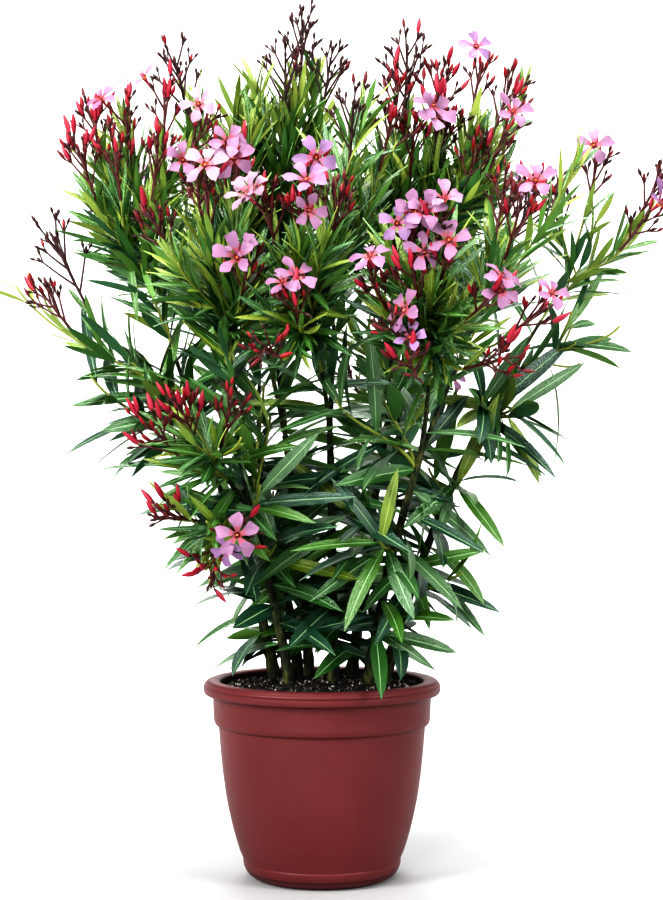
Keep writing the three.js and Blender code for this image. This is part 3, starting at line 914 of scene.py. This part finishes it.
def build_plant():
    for name, cane in canes.items():
        grow_cane(name, cane)
    surfaces = leaf_materials()
    owners = {"mass_" + name: head["cane"] for name, head in heads.items()}
    # A mass that has no bough of its own hangs on the cane whose middle part lies nearest.
    for node in masses:
        if node not in owners:
            middle = sum(box_of(node)) / 2
            owners[node] = min(canes, key=lambda c: np.linalg.norm(canes[c]["line"][3:6].mean(0) - middle))
            grow_skirt(owners[node], node)
    for name in canes:
        batch = Batch()
        leaves[name].fill(batch)
        piece = batch.build("leaves_" + name, surfaces)
        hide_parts(*(node for node in masses if owners[node] == name))
    twigs.build("twigs", [
        material("twig_green", paint(118, 128, 54), 0.55), material("stalk_red", paint(74, 28, 26), 0.55),
        material("stalk_spent", paint(52, 26, 26), 0.7),
    ])
    petals = []
    for name, petal, heart in TINTS:
        petals.append(material(f"petal_{name}", paint(*petal), 0.55))
        petals.append(material(f"heart_{name}", paint(*heart), 0.55))
    throat = [material("throat", paint(206, 122, 84), 0.6), material("funnel", paint(150, 50, 70), 0.5)]
    flowers.build("blossom", petals + throat)
    buds.build("buds", [
        material("bud_dark", paint(92, 15, 24), 0.42), material("bud_red", paint(128, 13, 26), 0.48),
        material("bud_pink", paint(142, 28, 52), 0.48), material("calyx", paint(54, 24, 22), 0.6),
    ])


# ---- Pot and soil ---------------------------------------------------------------------------------------

POT_SEGMENTS = 160

# Radii and heights of the pot's outline, in millimetres.
BELLY_FOOT, BELLY_TOP = (79, 18), (103.5, 150)
BELLY_SWELL = 5.2  # how far the wall bulges past a straight line
MOUTH_RADIUS = 102  # from here inward, the wall's inner side begins


def rounded(corners, steps=4):
    """An outline through corners (radius, height, rounding), with each corner rounded off."""
    outline = []
    for i, (r, z, rounding) in enumerate(corners):
        here = np.array([r, z])
        if rounding == 0 or i in (0, len(corners) - 1):
            outline.append(here)
            continue
        before, after = np.array(corners[i - 1][:2]), np.array(corners[i + 1][:2])
        a = here + (before - here) * min(rounding / np.linalg.norm(before - here), 0.5)
        b = here + (after - here) * min(rounding / np.linalg.norm(after - here), 0.5)
        for t in np.linspace(0, 1, steps):
            outline.append(a * (1 - t) ** 2 + 2 * here * t * (1 - t) + b * t**2)
    return np.array(outline) * MM


def spin(outline, segments):
    """(points, faces) of an outline turned about the pot's axis."""
    angles = np.linspace(0, 2 * math.pi, segments, endpoint=False)
    points = np.stack([
        np.outer(outline[:, 0], np.cos(angles)), np.outer(outline[:, 0], np.sin(angles)),
        np.repeat(outline[:, 1:], segments, axis=1),
    ], axis=-1)
    return points, grid_faces(len(outline), segments, True)


def build_pot():
    rim, top = RIM_RADIUS / MM, RIM_TOP / MM
    belly = []
    for share in np.linspace(0, 1, 14):
        straight = BELLY_FOOT[0] + (BELLY_TOP[0] - BELLY_FOOT[0]) * share
        height = BELLY_FOOT[1] + (BELLY_TOP[1] - BELLY_FOOT[1]) * share
        belly.append((straight + BELLY_SWELL * math.sin(math.pi * share**0.85), height, 0))
    foot = [
        (0.1, 1.2, 0), (59, 1.2, 1), (61, 0, 1), (65, 0, 3), (74, 4, 5), (78.4, 12, 5), (79.2, 17.2, 0.5),
        (78.4, 18, 0.4),
    ]
    collar = [(103.6, 152.4, 0.5), (107, 153.4, 2), (108.6, 158, 3), (109.5, 182.4, 0.8)]
    lip = [
        (rim - 1.6, 184, 1.5), (rim, 189, 4), (rim - 1.5, 194.5, 5), (rim - 7, top, 5),
        (103.5, top - 0.6, 2.5),
    ]
    mouth = [(101, top - 4, 2), (100.6, 184, 1), (98.5, 150, 1)]
    outline = rounded([*foot, *belly[1:], *collar, *lip, *mouth])
    points, faces = spin(outline, POT_SEGMENTS)
    # The inner wall below the mouth gets a much darker plastic than the outside: painted shade down in the
    # pot's hollow.
    inner_wall_painted_shade = (np.arange(len(outline) - 1) > len(outline) / 2) & (outline[1:, 0] < MOUTH_RADIUS * MM)
    batch = Batch()
    batch.add(points, faces[:, ::-1], np.repeat(inner_wall_painted_shade.astype(int), POT_SEGMENTS))
    plastic = material("pot_plastic", paint(94, 43, 44), 0.44, **{"Specular IOR Level": 0.3})
    mottle(plastic, [paint(90, 41, 42), paint(98, 45, 46)], 9, 3)
    roughen(plastic, 900, 0.00012, 2)
    # The second material, for the inner wall, is painted shade: the pot's own plastic made nearly black.
    piece = batch.build("planter", [plastic, material("pot_inside_painted_shade", paint(44, 12, 13), 0.8)])
    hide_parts("pot")


SOIL_RINGS, SOIL_SIDES = 34, 96
SOIL_RADIUS = 100.4 * MM  # where the soil meets the wall
GRAINS = 3200
GRAIN_REACH = 99 * MM
GRAIN_ODDS = [0.42, 0.3, 0.16, 0.12]  # of soil, peat, grit and pumice
GRAIN_CORNERS = np.array([[1, 0, 0], [-1, 0, 0], [0, 1, 0], [0, -1, 0], [0, 0, 1], [0, 0, -1]])
GRAIN_FACES = np.array([
    [0, 2, 4], [2, 1, 4], [1, 3, 4], [3, 0, 4], [2, 0, 5], [1, 2, 5], [3, 1, 5], [0, 3, 5],
])


def soil_height(x, y):
    """The lie of the soil: a low mound with lumps, a little under the rim at the wall."""
    reach = np.hypot(x, y) / (100 * MM)
    lumps = 1.6 * MM * np.sin(x * 71 + 1) * np.sin(y * 83) + 1.0 * MM * np.sin(x * 190 + y * 140)
    return SOIL_TOP + 5 * MM - 10.5 * MM * reach**1.8 + lumps


def build_soil():
    batch = Batch()
    turns = np.linspace(0, 2 * math.pi, SOIL_SIDES, endpoint=False)
    reach, turn = np.meshgrid(np.linspace(0.01, 1, SOIL_RINGS), turns, indexing="ij")
    x, y = SOIL_RADIUS * reach * np.cos(turn), SOIL_RADIUS * reach * np.sin(turn)
    spots = [Vector((a * 150, b * 150, 0)) for a, b in zip(x.ravel(), y.ravel())]
    rough = np.array([noise.fractal(spot, 1, 2, 4) for spot in spots])
    z = soil_height(x, y) + 0.9 * MM * rough.reshape(x.shape)
    batch.add(np.stack([x, y, z], -1), grid_faces(SOIL_RINGS, SOIL_SIDES, True), 0)
    for _ in range(GRAINS):
        far = GRAIN_REACH * math.sqrt(rng.random())
        at = rng.uniform(0, 2 * math.pi)
        x, y = far * math.cos(at), far * math.sin(at)
        size = rng.uniform(0.6, 1.9) * MM * rng.uniform(0.6, 1.2, 3)
        shape = GRAIN_CORNERS * size + rng.normal(0, 0.18 * MM, (6, 3))
        spot = np.array([x, y, soil_height(x, y) + 0.5 * MM])
        batch.add(shape + spot, GRAIN_FACES, rng.choice(4, p=GRAIN_ODDS))
    soil = material("soil", paint(20, 17, 15), 0.95)
    mottle(soil, [paint(10, 9, 8), paint(28, 24, 20)], 120, 5)
    piece = batch.build("potting_soil", [
        soil, material("peat", paint(30, 24, 19), 0.95), material("grit", paint(84, 78, 70), 0.85),
        material("pumice", paint(158, 154, 144), 0.8),
    ])
    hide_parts("soil")


# ---- Studio ---------------------------------------------------------------------------------------------

SWEEP_FLOOR = 3.6
SWEEP_BEND = 1.6
SWEEP_WALL = 5.5
SWEEP_SEGMENTS = 96
PAPER = (0.35, 0.35, 0.35, 1)
SKY_STRENGTH = 0.05
# Each lamp's name, place, aim, size and power, in metres and watts.
LAMPS = [
    ("key_left", (-1.9, -1.7, 1.6), (0, 0, 0.5), (0.8, 1.3), 82),
    ("key_right", (2.0, -1.5, 1.3), (0, 0, 0.5), (0.7, 1.4), 46),
    ("low_front", (-0.6, -2.6, 1.0), (0, 0, 0.35), (0.6, 0.6), 24),
    ("top", (0.1, -0.4, 2.6), (0, 0, 0.4), (1.6, 1.6), 67),
    ("back_fill", (-0.2, 2.0, 2.4), (0, 0, 0.5), (1.2, 1.2), 38),
]
# Lamps round the plant that light the sweep's wall: which way each one faces, in degrees, and its power.
WALL_LAMPS = [("back", 90, 430), ("right", 0, 50), ("left", 180, 50), ("front", 270, 44)]
WALL_LAMP_OUT, WALL_LAMP_UP = 1.6, 3.2
WALL_LAMP_SIZE = (3.0, 1.2)
WALL_AIM_OUT, WALL_AIM_UP = 5, 1.2
CAMERA_AWAY = 2.0
CAMERA_HEIGHT = 0.442
CAMERA_SHIFT = -0.0166
CAMERA_ASIDE = 0.0095
LENS = 79.7


def build_studio():
    world = bpy.data.worlds.new("studio")
    bpy.context.scene.world = world
    world.use_nodes = True
    world.node_tree.nodes["Background"].inputs["Color"].default_value = (1, 1, 1, 1)
    world.node_tree.nodes["Background"].inputs["Strength"].default_value = SKY_STRENGTH

    outline = [(0.001, 0.0)]
    for turn in np.linspace(0, math.pi / 2, 14):
        out, down = SWEEP_BEND * math.sin(turn), SWEEP_BEND * math.cos(turn)
        outline.append((SWEEP_FLOOR + out, SWEEP_BEND - down))
    outline.append((SWEEP_FLOOR + SWEEP_BEND, SWEEP_WALL))
    points, faces = spin(np.array(outline), SWEEP_SEGMENTS)
    batch = Batch()
    batch.add(points, faces[:, ::-1])
    batch.build("sweep", [material("paper_white", PAPER, 0.9)], None)

    def lamp(name, at, aim, size, power):
        light = bpy.data.lights.new(name, "AREA")
        light.shape = "RECTANGLE"
        light.size, light.size_y = size
        light.energy = power
        holder = bpy.data.objects.new(name, light)
        holder.location = at
        holder.rotation_euler = (Vector(aim) - Vector(at)).to_track_quat("-Z", "Y").to_euler()
        bpy.context.scene.collection.objects.link(holder)

    for settings in LAMPS:
        lamp(*settings)
    for name, degrees, power in WALL_LAMPS:
        x, y = math.cos(math.radians(degrees)), math.sin(math.radians(degrees))
        at = (WALL_LAMP_OUT * x, WALL_LAMP_OUT * y, WALL_LAMP_UP)
        aim = (WALL_AIM_OUT * x, WALL_AIM_OUT * y, WALL_AIM_UP)
        lamp(f"wall_{name}", at, aim, WALL_LAMP_SIZE, power)

    camera = bpy.data.cameras.new("camera")
    camera.lens = LENS
    camera.shift_y = CAMERA_SHIFT
    holder = bpy.data.objects.new("camera", camera)
    holder.location = (CAMERA_ASIDE, -CAMERA_AWAY, CAMERA_HEIGHT)
    holder.rotation_euler = (math.pi / 2, 0, 0)
    bpy.context.scene.collection.objects.link(holder)
    bpy.context.scene.camera = holder
    bpy.context.scene.view_settings.view_transform = "Standard"
    bpy.context.scene.view_settings.look = "Very High Contrast"


build_bark()
build_plant()
build_pot()
build_soil()
build_studio()
